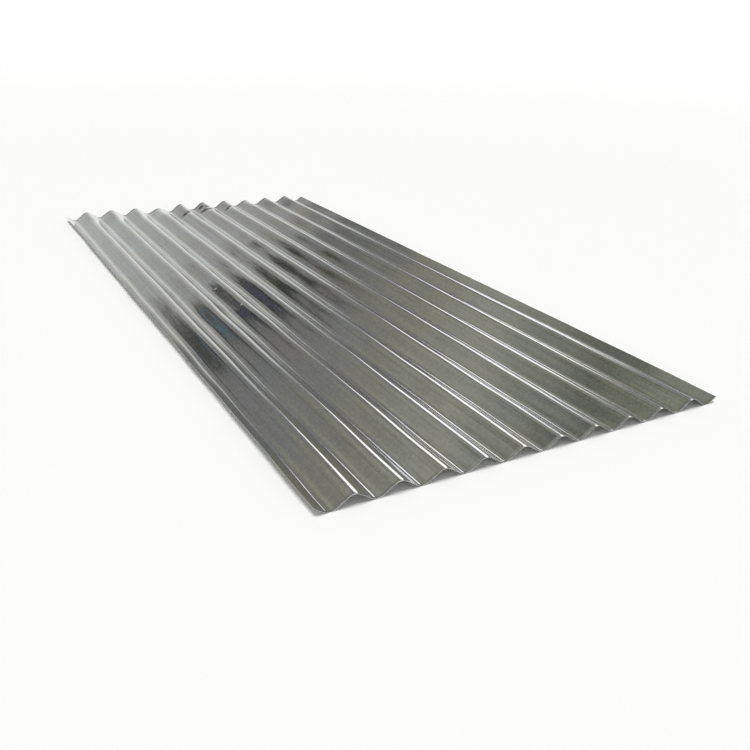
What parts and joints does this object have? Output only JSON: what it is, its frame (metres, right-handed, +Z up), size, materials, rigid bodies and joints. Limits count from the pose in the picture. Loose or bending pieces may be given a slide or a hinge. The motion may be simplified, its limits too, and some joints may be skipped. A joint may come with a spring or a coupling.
{
  "type": "corrugated metal sheet",
  "caption": "Galvanised steel sheet roll-formed into a regular wave of crests and valleys with upturned long edges, for roofing, cladding and fencing; it lies flat on its valleys.",
  "frame": {"origin": "on the plane that the valleys rest on, under the middle of the sheet", "axes": "+X across the waves, +Y along the waves, +Z up"},
  "size_m": [0.8122, 1.829, 0.0185],
  "materials": {
    "galvanised_steel": "hot-dip galvanised, bright, with a fine grain and light handling marks"
  },
  "bodies": {
    "root": {"corrugated_sheet": "galvanised_steel"}
  },
  "joints": []
}
